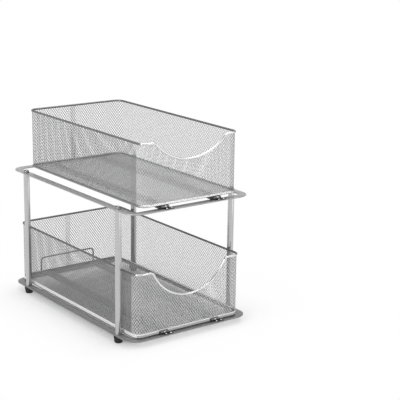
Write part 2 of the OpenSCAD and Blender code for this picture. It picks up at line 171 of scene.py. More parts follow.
def metal_finish(name, colour, metallic, roughness, grain=900.0, bump=0.04, mottle=0.05):
    """A metal surface under thin paint or plating: a fine grain in its gloss and relief,
    and a slow drift of tone."""
    material = bpy.data.materials.new(name)
    material.use_nodes = True
    nodes, links = material.node_tree.nodes, material.node_tree.links
    shader = nodes["Principled BSDF"]
    shader.inputs["Metallic"].default_value = metallic
    place = nodes.new("ShaderNodeTexCoord")
    fine = nodes.new("ShaderNodeTexNoise")
    fine.inputs["Scale"].default_value = grain
    fine.inputs["Detail"].default_value = 3.0
    slow = nodes.new("ShaderNodeTexNoise")
    slow.inputs["Scale"].default_value = 18.0
    slow.inputs["Detail"].default_value = 4.0
    tone = nodes.new("ShaderNodeMapRange")
    tone.inputs["To Min"].default_value = 1.0 - mottle
    tone.inputs["To Max"].default_value = 1.0 + mottle
    mix = nodes.new("ShaderNodeMix")
    mix.data_type = "RGBA"
    mix.blend_type = "MULTIPLY"
    mix.inputs["Factor"].default_value = 1.0
    mix.inputs["A"].default_value = (*colour, 1.0)
    gloss = nodes.new("ShaderNodeMapRange")
    gloss.inputs["To Min"].default_value = roughness - 0.05
    gloss.inputs["To Max"].default_value = roughness + 0.05
    relief = nodes.new("ShaderNodeBump")
    relief.inputs["Strength"].default_value = bump
    relief.inputs["Distance"].default_value = 0.0003
    links.new(place.outputs["Object"], fine.inputs["Vector"])
    links.new(place.outputs["Object"], slow.inputs["Vector"])
    links.new(slow.outputs["Fac"], tone.inputs["Value"])
    links.new(tone.outputs["Result"], mix.inputs["B"])
    links.new(mix.outputs["Result"], shader.inputs["Base Color"])
    links.new(fine.outputs["Fac"], gloss.inputs["Value"])
    links.new(gloss.outputs["Result"], shader.inputs["Roughness"])
    links.new(fine.outputs["Fac"], relief.inputs["Height"])
    links.new(relief.outputs["Normal"], shader.inputs["Normal"])
    return material


# The lower ring is painted darker than the upper one: a painted shade for the upper tier's shadow
# over it.
ring_paints = {
    "lower": metal_finish("lower_ring_silver_paint", (0.26, 0.26, 0.263),
                          metallic=0.35, roughness=0.36),
    "upper": metal_finish("upper_ring_silver_paint", (0.42, 0.42, 0.425),
                          metallic=0.55, roughness=0.34)}
strip_wide, strip_thick, strip_edge = 0.016, 0.002, 0.0007
ring_corner = 0.027
for tier in ("lower", "upper"):
    low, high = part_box(f"{tier}_ring")
    wide, deep = high.x - low.x - strip_wide, high.y - low.y - strip_wide
    corner = ring_corner - strip_wide / 2
    stops = loop_stops(wide, deep, corner, bend_steps=20)
    x, y, nx, ny = around(wide, deep, corner, 0, stops)
    path = np.stack([x, y, np.full_like(x, (low.z + high.z) / 2)], 1)
    normals = np.stack([nx, ny, np.zeros_like(nx)], 1)
    make_piece(f"{tier}_strip_ring",
               *swept(path, normals, rounded_bar(strip_wide, strip_thick, strip_edge)),
               ring_paints[tier], "frame", "ring", [f"{tier}_ring"])

# ---------------------------------------------------------------- posts
# Four straight steel tubes, 12 mm across, stand between the rings. Their ends are
# turned in slightly where they were cut, and they are painted silver like the rings.


def turned(profile, sides=40):
    """Vertices and faces of a shape turned about Z from [radius, height] points."""
    profile = np.asarray(profile, float)
    a = np.arange(sides) * 2 * math.pi / sides
    rings = np.stack([profile[:, :1] * np.cos(a), profile[:, :1] * np.sin(a),
                      np.repeat(profile[:, 1:], sides, 1)], -1)
    m = sides
    faces = []
    for i in range(len(profile) - 1):
        for j in range(m):
            k = (j + 1) % m
            faces.append((i * m + j, i * m + k, (i + 1) * m + k, (i + 1) * m + j))
    faces.append(tuple(range(m - 1, -1, -1)))
    faces.append(tuple((len(profile) - 1) * m + j for j in range(m)))
    return rings.reshape(-1, 3), faces


post_paint = metal_finish("post_silver_paint", (0.52, 0.52, 0.525), metallic=0.9, roughness=0.18)
corner_names = ("front_left", "front_right", "rear_left", "rear_right")
# A post's cut edge as [inset, distance from the end] points, from the end on.
cut_edge = ((0.0010, 0), (0.0003, 0.0002), (0, 0.0012))
for corner_name in corner_names:
    low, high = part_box(f"post_{corner_name}")
    radius, length = (high.x - low.x) / 2, high.z - low.z
    vertices, faces = turned([(radius - inset, z) for inset, z in cut_edge]
                             + [(radius - inset, length - z) for inset, z in reversed(cut_edge)])
    centre = ((low.x + high.x) / 2, (low.y + high.y) / 2, low.z)
    make_piece(f"tube_post_{corner_name}", vertices + centre, faces, post_paint,
               "frame", "post", [f"post_{corner_name}"])

# ---------------------------------------------------------------- feet
# A black rubber-like plastic foot is screwed under each post. Its side draws in a
# little towards the floor and its lower edge is rounded.


def plastic_finish(name, colour, roughness, grain=700.0, bump=0.15):
    """Moulded plastic with a fine spark-eroded grain."""
    material = bpy.data.materials.new(name)
    material.use_nodes = True
    nodes, links = material.node_tree.nodes, material.node_tree.links
    shader = nodes["Principled BSDF"]
    shader.inputs["Specular IOR Level"].default_value = 0.45
    place = nodes.new("ShaderNodeTexCoord")
    fine = nodes.new("ShaderNodeTexNoise")
    fine.inputs["Scale"].default_value = grain
    fine.inputs["Detail"].default_value = 2.0
    ramp = nodes.new("ShaderNodeMix")
    ramp.data_type = "RGBA"
    ramp.inputs["A"].default_value = (*colour, 1.0)
    ramp.inputs["B"].default_value = (*[c * 1.5 + 0.004 for c in colour], 1.0)
    gloss = nodes.new("ShaderNodeMapRange")
    gloss.inputs["To Min"].default_value = roughness - 0.06
    gloss.inputs["To Max"].default_value = roughness + 0.06
    relief = nodes.new("ShaderNodeBump")
    relief.inputs["Strength"].default_value = bump
    relief.inputs["Distance"].default_value = 0.0002
    links.new(place.outputs["Object"], fine.inputs["Vector"])
    links.new(fine.outputs["Fac"], ramp.inputs["Factor"])
    links.new(ramp.outputs["Result"], shader.inputs["Base Color"])
    links.new(fine.outputs["Fac"], gloss.inputs["Value"])
    links.new(gloss.outputs["Result"], shader.inputs["Roughness"])
    links.new(fine.outputs["Fac"], relief.inputs["Height"])
    links.new(relief.outputs["Normal"], shader.inputs["Normal"])
    return material


foot_rubber = plastic_finish("foot_black_rubber", (0.004, 0.004, 0.0045), roughness=0.6)
foot_taper = 0.0015
# The edges as [inset, distance from the end] points, from the floor upwards.
foot_lower_edge = ((0.0025, 0), (0.0012, 0.0002), (0.0003, 0.0010), (0, 0.0020))
foot_upper_edge = ((0.0001, 0.0012), (0.0004, 0.0003), (0.0012, 0))
for corner_name in corner_names:
    low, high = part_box(f"foot_{corner_name}")
    top, height = (high.x - low.x) / 2, high.z - low.z
    vertices, faces = turned([(top - foot_taper - inset, z) for inset, z in foot_lower_edge]
                             + [(top - inset, height - z) for inset, z in foot_upper_edge])
    centre = ((low.x + high.x) / 2, (low.y + high.y) / 2, low.z)
    make_piece(f"screw_foot_{corner_name}", vertices + centre, faces, foot_rubber,
               "frame", "foot", [f"foot_{corner_name}"])

# ---------------------------------------------------------------- studs and dome nuts
# A threaded stud runs down inside each post into its foot. On the upper ring it ends in
# a chromed dome nut: a six-sided collar with bevelled corners under a round cap.

polished = dict(grain=400.0, bump=0.01, mottle=0.02)
plated = dict(grain=500.0, bump=0.08, mottle=0.10)
nut_chrome = metal_finish("nut_chrome", (0.28, 0.28, 0.285),
                          metallic=1.0, roughness=0.16, **polished)
zinc = metal_finish("zinc_plate", (0.32, 0.32, 0.325), metallic=0.9, roughness=0.42, **plated)
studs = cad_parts["post_studs"]
studs.data.materials.clear()
studs.data.materials.append(zinc)


def dome_nut(centre, height, reach, collar_height, cap_radius, sides=24, cap_steps=9):
    """Vertices and faces of a six-sided collar with a round cap on it. The collar's edges
    are bevelled, given as [share of its reach, height]."""
    bevels = ((0.86, 0), (0.99, 0.0005), (0.99, collar_height - 0.0004), (0.88, collar_height))
    turns = [2 * math.pi * j / sides for j in range(sides)]
    flats = [math.cos(math.pi / 6) / math.cos(a % (math.pi / 3) - math.pi / 6) for a in turns]
    rows = [[(reach * min(most, flat), a, z) for flat, a in zip(flats, turns)]
            for most, z in bevels]
    for i in range(cap_steps):
        t = math.pi / 2 * i / cap_steps
        z = collar_height + (height - collar_height) * math.sin(t)
        rows.append([(cap_radius * math.cos(t), a, z) for a in turns])
    shape = [(r * math.cos(a), r * math.sin(a), z) for row in rows for r, a, z in row]
    shape.append((0, 0, height))
    around_once = [(j, (j + 1) % sides) for j in range(sides)]
    sheets = [(i * sides + j, i * sides + k, (i + 1) * sides + k, (i + 1) * sides + j)
              for i in range(len(rows) - 1) for j, k in around_once]
    last = (len(rows) - 1) * sides
    sheets += [(last + j, last + k, last + sides) for j, k in around_once]
    sheets.append(tuple(range(sides - 1, -1, -1)))
    return np.array(shape) + centre, sheets


low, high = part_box("dome_nuts")
nut_reach, collar_height, cap_radius = 0.006, 0.0024, 0.0052
vertices, faces = [], []
for sx in (-1, 1):
    for sy in (-1, 1):
        centre = (sx * ((high.x - low.x) / 2 - nut_reach), sy * ((high.y - low.y) / 2 - nut_reach),
                  low.z)
        nut, nut_faces = dome_nut(centre, high.z - low.z, nut_reach, collar_height, cap_radius)
        faces += [tuple(v + len(vertices) for v in face) for face in nut_faces]
        vertices += nut.tolist()
make_piece("post_dome_nuts", vertices, faces, nut_chrome, "frame", "chrome", ["dome_nuts"], sharp=35)

# ---------------------------------------------------------------- runners
# Two lipped channels lie across each ring from front to rear: 1.2 mm steel folded up at
# the sides and in over the slot, zinc-plated, riveted at the rear.


def folded_channel(wide, high, sheet, slot, bend=0.0012, thinned=0.7, steps=4):
    """Cross-section of a lipped channel, open at the top, as [x, z] points. Its sheet is
    thinned to that share of its thickness in the bends."""
    points = []

    def fillet(cx, cz, radius, a0, a1):
        for i in range(steps + 1):
            a = math.radians(a0 + (a1 - a0) * i / steps)
            points.append((cx + radius * math.cos(a), cz + radius * math.sin(a)))

    half, inner = wide / 2, bend - sheet * thinned
    points.append((slot / 2, high))
    fillet(half - bend, high - bend, bend, 90, 0)
    fillet(half - bend, bend, bend, 0, -90)
    fillet(-half + bend, bend, bend, -90, -180)
    fillet(-half + bend, high - bend, bend, 180, 90)
    points.append((-slot / 2, high))
    points.append((-slot / 2, high - sheet))
    fillet(-half + sheet + inner, high - sheet - inner, inner, 90, 180)
    fillet(-half + sheet + inner, sheet + inner, inner, 180, 270)
    fillet(half - sheet - inner, sheet + inner, inner, 270, 360)
    fillet(half - sheet - inner, high - sheet - inner, inner, 0, 90)
    points.append((slot / 2, high - sheet))
    return np.array(points)


runner_sheet, runner_slot = 0.0012, 0.009
for tier in ("lower", "upper"):
    for side in ("left", "right"):
        low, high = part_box(f"{tier}_runner_{side}")
        section = folded_channel(high.x - low.x, high.z - low.z, runner_sheet, runner_slot)
        count = len(section)
        middle = (low.x + high.x) / 2
        vertices = [(middle + px, y, low.z + pz) for y in (low.y, high.y) for px, pz in section]
        faces = [(j, (j + 1) % count, count + (j + 1) % count, count + j) for j in range(count)]
        faces += [tuple(range(count - 1, -1, -1)), tuple(range(count, 2 * count))]
        make_piece(f"{tier}_channel_{side}", vertices, faces, zinc, "frame", "zinc",
                   [f"{tier}_runner_{side}"], sharp=50)

# ---------------------------------------------------------------- front glides
# A black moulded block closes the front end of each channel. Its flange is riveted to the
# ring, its nose stops the basket, and its plug stops the rear glide at full reach.

glide_plastic = plastic_finish("glide_black_plastic", (0.010, 0.010, 0.011), roughness=0.38)


def softened(node, material, width):
    """Keep a CAD node as it is, round its sharp edges over and give it a finish."""
    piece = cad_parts[node]
    piece.data.materials.clear()
    piece.data.materials.append(material)
    weld = piece.modifiers.new("joined_corners", "WELD")
    weld.merge_threshold = 0.00001
    edge = piece.modifiers.new("rounded_edges", "BEVEL")
    edge.width = width
    edge.segments = 2
    edge.limit_method = "ANGLE"
    edge.angle_limit = math.radians(40)


for tier in ("lower", "upper"):
    for side in ("left", "right"):
        softened(f"{tier}_front_glide_{side}", glide_plastic, width=0.0003)

# ---------------------------------------------------------------- rivets
# Domed chrome rivets hold each front glide's flange to the ring, two to a glide, and one
# plated rivet in each channel holds its rear end. Their tails show under the rings.


def dome(radius, rise, tip=0.0001):
    """[radius, height] points of a rivet's dome, from its rim to its top."""
    turns = [math.radians(a) for a in range(0, 90, 12)]
    return [(radius * math.cos(a), rise * math.sin(a)) for a in turns] + [(tip, rise)]


def rivet_shape(head, grip, shank=0.0014, domed=0.62):
    """A rivet's outline with its head's underside at height 0, as [radius, height] points.
    Its tail is flattened, given as [share of the head's radius, drop below the sheet]."""
    tail = ((0.6, 0.0007), (0.93, 0.0005), (1, 0))
    flattened = [(head * share, -grip - drop) for share, drop in tail]
    return flattened + [(shank, -grip), (shank, 0.0)] + dome(head, head * domed)


def put_rivets(name, spots, outline, material, body, slot, node, turn=None):
    """One piece of several rivets, one at each spot."""
    one, one_faces = turned(outline, sides=20)
    if turn is not None:
        one = one @ np.array(turn.to_3x3()).T
    vertices = np.concatenate([one + spot for spot in spots])
    faces = [tuple(v + i * len(one) for v in f) for i in range(len(spots)) for f in one_faces]
    make_piece(name, vertices, faces, material, body, slot, [node], sharp=50)


chrome = metal_finish("rivet_chrome", (0.60, 0.60, 0.61),
                      metallic=1.0, roughness=0.10, **polished)
rivet_head, flange_thick, across_flange = 0.0023, 0.0012, (0.0023, 0.0130)
low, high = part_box("glide_rivets")
row_y = (low.y + high.y) / 2
spots = []
for tier in ("lower", "upper"):
    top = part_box(f"{tier}_ring")[1].z + flange_thick
    for side in ("left", "right"):
        runner_low, runner_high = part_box(f"{tier}_runner_{side}")
        middle = (runner_low.x + runner_high.x) / 2
        for dx in across_flange:
            spots.append((middle + dx, row_y, top))
put_rivets("flange_rivets", spots, rivet_shape(rivet_head, flange_thick + strip_thick),
           chrome, "frame", "chrome", "glide_rivets")

low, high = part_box("runner_rivets")
spots = []
for tier in ("lower", "upper"):
    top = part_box(f"{tier}_ring")[1].z + runner_sheet
    for side in ("left", "right"):
        runner_low, runner_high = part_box(f"{tier}_runner_{side}")
        spots.append(((runner_low.x + runner_high.x) / 2, (low.y + high.y) / 2, top))
put_rivets("channel_rivets", spots, rivet_shape(rivet_head, runner_sheet + strip_thick),
           zinc, "frame", "zinc", "runner_rivets")

# ---------------------------------------------------------------- rear stop loop
# A bent 3 mm wire stands on the lower ring behind the basket, both legs welded to the
# strip, so the basket can't be pushed off the back.

wire_paint = metal_finish("wire_silver_paint", (0.30, 0.30, 0.305), metallic=0.85, roughness=0.30)
low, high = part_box("rear_stop_loop")
loop_wire, loop_bend, leg_straight, bend_steps = (high.y - low.y) / 2, 0.008, 0.012, 12
left, right = low.x + loop_wire, high.x - loop_wire
bend_z, loop_y = high.z - loop_wire - loop_bend, (low.y + high.y) / 2
points = [(left, loop_y, low.z), (left, loop_y, low.z + leg_straight)]
for bend_x, from_angle in ((left + loop_bend, 180), (right - loop_bend, 90)):
    for i in range(bend_steps + 1):
        a = math.radians(from_angle - 90 * i / bend_steps)
        points.append((bend_x + loop_bend * math.cos(a), loop_y, bend_z + loop_bend * math.sin(a)))
points += [(right, loop_y, low.z + leg_straight), (right, loop_y, low.z)]
normals = np.tile((0.0, 1.0, 0.0), (len(points), 1))
make_piece("stop_loop_wire", *swept(points, normals, round_wire(loop_wire), closed=False),
           wire_paint, "frame", "wire", ["rear_stop_loop"])

# ---------------------------------------------------------------- basket walls
# The walls are steel mesh with diamond openings, bent round the corners in one strip.
# Each strand is a thin rib; where strands cross they are one with each other.

mesh_grain = dict(grain=1200.0, bump=0.03, mottle=0.06)
mesh_paint = metal_finish("mesh_silver_paint", (0.29, 0.29, 0.293),
                          metallic=0.4, roughness=0.45, **mesh_grain)
# The front walls are painted much lighter than the other walls: a painted light on the front-facing
# mesh, lighter still on the lower basket.
front_mesh_painted_light_paints = {
    "lower": metal_finish("lower_front_mesh_painted_light", (0.82, 0.82, 0.825),
                          metallic=0.3, roughness=0.38, **mesh_grain),
    "upper": metal_finish("upper_front_mesh_painted_light", (0.72, 0.72, 0.725),
                          metallic=0.3, roughness=0.38, **mesh_grain)}
front_strand_shares = {"lower": 0.19, "upper": 0.185}
# Half of an opening's width and height, and how much of it a strand takes.
cell_half_wide, cell_half_tall = 0.0026, 0.00345
strand_share, wall_strand_deep = 0.225, 0.0004


def opening_places(columns, rows):
    """The [column, row] of each diamond opening: every other place, staggered by row."""
    i, j = np.meshgrid(np.arange(columns), np.arange(rows), indexing="ij")
    odd = (i + j) % 2 == 1
    return np.stack([i[odd], j[odd]], 1)


def diamond_cells(cells, half_u, half_v, origin_u, origin_v, clip, deep, share):
    """Vertices as [u, v, out] and faces of a mesh of diamond openings, deep thick. cells
    are the openings' [column, row]; clip trims u and v to the panel's edge."""
    steps = np.array([(-1, 0), (0, -1), (1, 0), (0, 1)])
    nodes = cells[:, None, :] + steps[None]
    keys, inverse = np.unique(nodes.reshape(-1, 2), axis=0, return_inverse=True)
    inverse = inverse.reshape(-1, 4)
    node_uv = keys * (half_u, half_v) + (origin_u, origin_v)
    hole_uv = ((cells[:, None, :] + steps[None] * (1 - share)) * (half_u, half_v)
               + (origin_u, origin_v)).reshape(-1, 2)
    node_uv, hole_uv = clip(node_uv), clip(hole_uv)
    count = len(node_uv)
    front = np.c_[node_uv, np.full(count, deep / 2)]
    back = np.c_[node_uv, np.full(count, -deep / 2)]
    hole = np.c_[hole_uv, np.zeros(len(hole_uv))]
    own = 2 * count + np.arange(len(cells) * 4).reshape(-1, 4)
    faces = []
    for k in range(4):
        j = (k + 1) % 4
        faces.append(np.stack([inverse[:, k], inverse[:, j], own[:, j], own[:, k]], 1))
        faces.append(np.stack([count + inverse[:, j], count + inverse[:, k],
                               own[:, k], own[:, j]], 1))
    return np.concatenate([front, back, hole]), np.concatenate(faces)


def mesh_panel(name, vertices, faces, body, replaces, paint=mesh_paint):
    """A piece of mesh from arrays, shaded smooth so that its ribs look round."""
    mesh = bpy.data.meshes.new(name)
    mesh.vertices.add(len(vertices))
    mesh.vertices.foreach_set("co", np.asarray(vertices, np.float32).ravel())
    mesh.loops.add(faces.size)
    mesh.loops.foreach_set("vertex_index", faces.astype(np.int32).ravel())
    mesh.polygons.add(len(faces))
    mesh.polygons.foreach_set("loop_start", np.arange(len(faces), dtype=np.int32) * 4)
    mesh.update(calc_edges=True)
    mesh.validate()
    mesh.polygons.foreach_set("use_smooth", np.ones(len(mesh.polygons), bool))
    piece = bpy.data.objects.new(name, mesh)
    bpy.context.scene.collection.objects.link(piece)
    mesh.materials.append(paint)
    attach(piece, body)
    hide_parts(*replaces)


def scoop_edge(x, reach, drop, round_off):
    """How far the front edge dips below the rim at x: one wide arc between two small."""
    span = (reach * reach + drop * drop) / (2 * drop)
    x = np.abs(np.asarray(x, float))
    joint = reach * (span - round_off) / span
    wide = span - round_off
    arc = np.sqrt(np.maximum(wide**2 - np.minimum(x, joint) ** 2, 0)) - wide + drop
    small = round_off - np.sqrt(np.maximum(round_off**2 - (reach - np.clip(x, joint, reach)) ** 2, 0))
    return np.where(x <= joint, arc, small)


basket_corner, sheet, rim_wire = 0.016, 0.0012, 0.002
# How far openings stay under the rim, and how far the mesh laps onto the rim and the foot.
rim_clear, rim_lap, foot_lap = 0.0003, 0.0010, 0.0004
# The width left beside each scoop, its drop and the rounding of its upper corners.
scoops = {"lower": (0.030, 0.054, 0.009), "upper": (0.022, 0.036, 0.013)}
baskets = {}
for tier in ("lower", "upper"):
    low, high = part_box(f"{tier}_basket_walls")
    rim_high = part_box(f"{tier}_top_rim")[1]
    shoulder, drop, round_off = scoops[tier]
    wide, deep = high.x - low.x - sheet, high.y - low.y - sheet
    spec = dict(
        wide=wide, deep=deep, corner=basket_corner - sheet / 2, middle_y=(low.y + high.y) / 2,
        foot=low.z, rim=rim_high.z - rim_wire, reach=(high.x - low.x) / 2 - shoulder,
        drop=drop, round_off=round_off, body=f"{tier}_basket")
    baskets[tier] = spec
    length = girth(wide, deep, spec["corner"])
    columns = 2 * round(length / (2 * cell_half_wide))
    half_u = length / columns
    tall = spec["rim"] - spec["foot"]
    rows = round(tall / cell_half_tall)
    half_v = tall / rows
    front_start = math.pi * spec["corner"] + deep - 2 * spec["corner"]
    front_middle = front_start + wide / 2 - spec["corner"]

    def top_edge(u, spec=spec, front_middle=front_middle, length=length):
        offset = (u - front_middle + length / 2) % length - length / 2
        dip = np.where(np.abs(offset) < spec["reach"],
                       scoop_edge(offset, spec["reach"], spec["drop"], spec["round_off"]), 0)
        return spec["rim"] - dip

    cells = opening_places(columns, rows + 1)
    cells = cells[cells[:, 1] * half_v + spec["foot"] < top_edge(cells[:, 0] * half_u) - rim_clear]

    def clip(uv, spec=spec, top_edge=top_edge):
        uv = uv.copy()
        uv[:, 1] = np.clip(uv[:, 1], spec["foot"] - foot_lap, top_edge(uv[:, 0]) + rim_lap)
        return uv

    bend = math.pi * spec["corner"] / 2
    side_run, front_run = deep - 2 * spec["corner"], wide - 2 * spec["corner"]
    start = 0.0
    for side, run in (("left", side_run), ("front", front_run), ("right", side_run),
                      ("rear", front_run)):
        here = (cells[:, 0] * half_u >= start) & (cells[:, 0] * half_u < start + bend + run)
        share, paint = strand_share, mesh_paint
        if side == "front":
            share, paint = front_strand_shares[tier], front_mesh_painted_light_paints[tier]
        uvw, faces = diamond_cells(cells[here], half_u, half_v, 0.0, spec["foot"], clip,
                                   wall_strand_deep, share)
        x, y, nx, ny = around(wide, deep, spec["corner"], spec["middle_y"], uvw[:, 0])
        vertices = np.stack([x + nx * uvw[:, 2], y + ny * uvw[:, 2], uvw[:, 1]], 1)
        mesh_panel(f"{tier}_mesh_wall_{side}", vertices, faces, spec["body"],
                   [f"{tier}_basket_walls"], paint)
        start += bend + run

# ---------------------------------------------------------------- basket floors
# The floor is a flat panel of the same mesh, with thicker strands. Its edge is cut to the
# walls' outline and welded to their base.

# The floor mesh is painted lighter than the walls: a painted light of the top lamp on it.
floor_mesh_painted_light = metal_finish("floor_mesh_painted_light", (0.40, 0.40, 0.404),
                                metallic=0.3, roughness=0.45, **mesh_grain)
floor_strand_deep, floor_strand_share = 0.0009, 0.30
for tier, spec in baskets.items():
    low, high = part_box(f"{tier}_basket_floor")
    floor_wide, floor_deep = high.x - low.x, high.y - low.y
    corner = basket_corner - (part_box(f"{tier}_basket_walls")[1].x - high.x)
    columns, rows = round(floor_wide / cell_half_wide), round(floor_deep / cell_half_tall)
    half_u, half_v = floor_wide / columns, floor_deep / rows
    cells = opening_places(columns + 1, rows + 1)
    middle = (low + high) / 2

    def floor_clip(uv, half_x=floor_wide / 2, half_y=floor_deep / 2, corner=corner, middle=middle):
        uv = uv - (middle.x, middle.y)
        uv[:, 0] = np.clip(uv[:, 0], -half_x, half_x)
        uv[:, 1] = np.clip(uv[:, 1], -half_y, half_y)
        over = np.maximum(np.abs(uv) - (half_x - corner, half_y - corner), 0)
        reach = np.hypot(over[:, 0], over[:, 1])
        cut = reach > corner
        uv[cut] = np.sign(uv[cut]) * (over[cut] * (corner / reach[cut])[:, None]
                                      + (half_x - corner, half_y - corner))
        return uv + (middle.x, middle.y)

    centres = np.abs(cells * (half_u, half_v) + (low.x, low.y) - (middle.x, middle.y))
    over = np.maximum(centres - (floor_wide / 2 - corner, floor_deep / 2 - corner), 0)
    cells = cells[np.hypot(over[:, 0], over[:, 1]) < corner]
    uvw, faces = diamond_cells(cells, half_u, half_v, low.x, low.y, floor_clip,
                               floor_strand_deep, floor_strand_share)
    vertices = np.stack([uvw[:, 0], uvw[:, 1], middle.z + uvw[:, 2]], 1)
    mesh_panel(f"{tier}_mesh_floor", vertices, faces, spec["body"], [f"{tier}_basket_floor"],
               floor_mesh_painted_light)

# ---------------------------------------------------------------- top rims
# A 4 mm round wire is welded along the top of the walls. Round the sides and the rear it
# has a dark paint. The front wire that drops into the scoop is painted much brighter, a painted
# highlight.

rim_paint = metal_finish("rim_silver_paint", (0.19, 0.19, 0.193), metallic=0.7, roughness=0.40)
front_wire_painted_highlight = metal_finish("front_wire_painted_highlight", (0.80, 0.80, 0.805),
                                metallic=0.80, roughness=0.20)
# Shares of the two front bends that belong to the front wire.
wire_lead, wire_tail = 0.6, 0.3


def front_and_back(spec, front_steps):
    """Lengths round a basket along its front wire, and along the one round the rest."""
    wide, deep, corner = spec["wide"], spec["deep"], spec["corner"]
    bend, once = math.pi * corner / 2, girth(wide, deep, corner)
    start = (2 - wire_lead) * bend + deep - 2 * corner
    end = start + (wire_lead + wire_tail) * bend + wide - 2 * corner
    stops = loop_stops(wide, deep, corner, bend_steps=12)
    back = [[end], stops[stops > end], once + stops[stops < start], [once + start]]
    return {"front": np.linspace(start, end, front_steps), "back": np.concatenate(back)}


def weld_wire(name, spec, lengths, height, radius, paint, node, scooped=False):
    """A round wire on a basket's walls at a height; a scooped one drops into the scoop."""
    x, y, nx, ny = around(spec["wide"], spec["deep"], spec["corner"], spec["middle_y"], lengths)
    z = np.full_like(x, height)
    if scooped:
        dip = scoop_edge(x, spec["reach"], spec["drop"], spec["round_off"])
        z -= np.where(np.abs(x) < spec["reach"], dip, 0)
    normals = np.stack([nx, ny, np.zeros_like(nx)], 1)
    make_piece(name, *swept(np.stack([x, y, z], 1), normals, round_wire(radius), closed=False),
               paint, spec["body"], "wire", [node])


for tier, spec in baskets.items():
    for part, lengths in front_and_back(spec, front_steps=281).items():
        weld_wire(f"{tier}_rim_{part}", spec, lengths, spec["rim"], rim_wire,
                  front_wire_painted_highlight if part == "front" else rim_paint, f"{tier}_top_rim",
                  scooped=part == "front")

# ---------------------------------------------------------------- lower basket's base band
# A strip on edge is welded round the foot of the lower basket: a bead along its top, a
# flat face, and a lower edge set back. Channels pass under it. The set-back edge and the
# inner side are painted near black, a painted shade, and the front face has a darker copy
# of the sides' very light paint, also a painted shade.

band_paint = metal_finish("band_silver_paint", (0.92, 0.92, 0.925),
                          metallic=0.15, roughness=0.30)
band_front_painted_shade = metal_finish("band_front_painted_shade", (0.60, 0.60, 0.605),
                                metallic=0.2, roughness=0.35)
band_painted_shade_edge = metal_finish("band_painted_shade_edge", (0.09, 0.09, 0.09), metallic=0.2, roughness=0.55)
low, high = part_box("lower_base_band")
band_thick, band_edge, outside_walls = 0.0018, 0.0004, 0.0003
# The outer face as [set back, share of the height from the middle], from its lower edge
# up. The other three corners of the section are plain rounded ones.
band_face = ((0.0012, -0.50), (0.0011, -0.27), (0, -0.25), (0, 0.22), (0.0003, 0.23),
             (0.0003, 0.26), (0, 0.27))
three_corners = 9
painted_shade_rows, flat_row, facing_front, straight = (5, 9, 10), 11, -0.7, 0.999
wide, deep = high.x - low.x - band_thick, high.y - low.y - band_thick
corner = basket_corner + outside_walls - band_thick / 2
middle_y = (low.y + high.y) / 2
ring_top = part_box("lower_ring")[1].z
# The notches as [half width, height over the ring, whether only at the front].
over_channel, over_cap = (0.0099, 0.0054, False), (0.0080, 0.0065, True)
notches = []
for side in ("left", "right"):
    runner_low, runner_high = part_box(f"lower_runner_{side}")
    middle = (runner_low.x + runner_high.x) / 2
    for reach, rise, front_only in (over_channel, over_cap):
        notches.append((middle - reach, middle + reach, ring_top + rise, front_only))


def band_foot(x, front):
    """Height of the band's lower edge at x, on the front or the rear side."""
    foot = low.z
    for x0, x1, top, front_only in notches:
        if x0 < x < x1 and (front or not front_only):
            foot = max(foot, top)
    return foot


stops = list(loop_stops(wide, deep, corner, bend_steps=12))
bend = math.pi * corner / 2
front_start = 2 * bend + deep - 2 * corner
rear_start = 4 * bend + 2 * (deep - 2 * corner) + wide - 2 * corner
tiny = 0.00001
for x0, x1, top, front_only in notches:
    for edge_x in (x0, x1):
        stops += [front_start + edge_x + wide / 2 - corner - tiny,
                  front_start + edge_x + wide / 2 - corner + tiny]
        if not front_only:
            stops += [rear_start + wide / 2 - corner - edge_x - tiny,
                      rear_start + wide / 2 - corner - edge_x + tiny]
stops = np.sort(np.array(stops))
x, y, nx, ny = around(wide, deep, corner, middle_y, stops)
vertices = []
for px, py, ax, ay in zip(x, y, nx, ny):
    foot = band_foot(px, ay < 0) if abs(ay) > straight else low.z
    tall, middle = high.z - foot, (high.z + foot) / 2
    section = rounded_bar(band_thick, tall, band_edge, steps=2)[:three_corners].tolist()
    section += [(band_thick / 2 - back, share * tall) for back, share in band_face]
    vertices += [(px + ax * a, py + ay * a, middle + b) for a, b in section]
m, n = len(section), len(stops)
faces = [(i * m + j, i * m + (j + 1) % m, (i + 1) % n * m + (j + 1) % m, (i + 1) % n * m + j)
         for i in range(n) for j in range(m)]
band = make_piece("lower_foot_band", vertices, faces, band_paint, "lower_basket", "band",
                  ["lower_base_band"])
band.data.materials.append(band_front_painted_shade)
band.data.materials.append(band_painted_shade_edge)
# The set-back lower edge and the inner side take the near-black painted shade; the front run of the
# flat face takes the darker copy of the band's paint, a painted shade.
for face in band.data.polygons:
    if face.index % m in painted_shade_rows:
        face.material_index = 2
    elif face.index % m == flat_row and face.normal.y < facing_front:
        face.material_index = 1

# ---------------------------------------------------------------- upper basket's base wire
# The upper basket stands on a round wire instead, welded under the walls all round. Its
# front run takes the scoop wire's bright paint, a painted highlight.

low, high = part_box("upper_base_wire")
base_wire = (high.z - low.z) / 2
for part, lengths in front_and_back(baskets["upper"], front_steps=60).items():
    weld_wire(f"upper_foot_wire_{part}", baskets["upper"], lengths, low.z + base_wire, base_wire,
              front_wire_painted_highlight if part == "front" else wire_paint, "upper_base_wire")

# ---------------------------------------------------------------- wall seams
# The strip of mesh meets on the rear wall. One end laps over the other there by about
# an opening, on the inner side, and is spot-welded to it.

